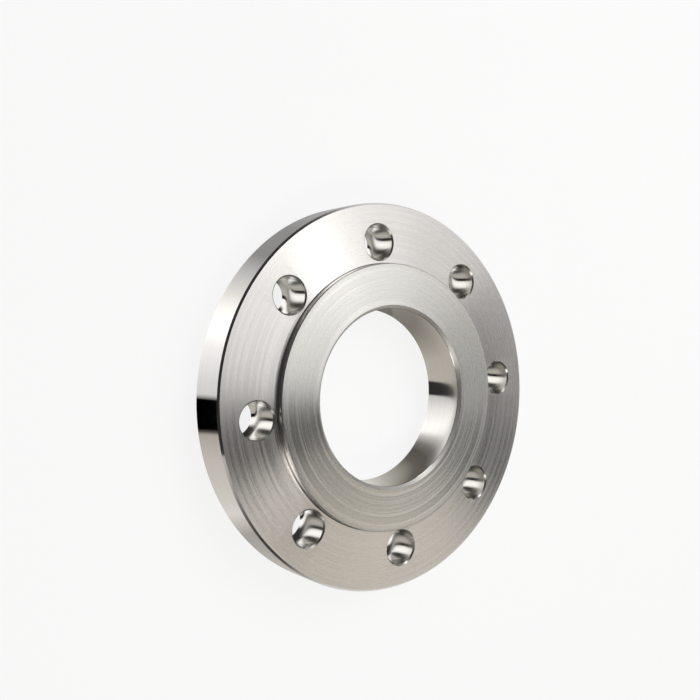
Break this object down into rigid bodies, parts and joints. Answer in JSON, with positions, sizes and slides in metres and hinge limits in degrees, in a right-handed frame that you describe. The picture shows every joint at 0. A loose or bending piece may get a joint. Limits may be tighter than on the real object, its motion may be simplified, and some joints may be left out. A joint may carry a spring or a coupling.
{
  "type": "lap joint flange",
  "caption": "Loose pipe flange turned from one piece of stainless steel, with a raised face, a plain bore for a lapped pipe and bolt holes round the ring.",
  "frame": {"origin": "on the bore axis, in the plane of the flat back face that the flange lies on", "axes": "+Z along the bore axis, out of the raised face; +X through the centre of a bolt hole"},
  "size_m": [0.2, 0.2, 0.026],
  "materials": {
    "steel": "fine turned stainless steel"
  },
  "bodies": {
    "root": {"flange": "steel"}
  },
  "joints": []
}
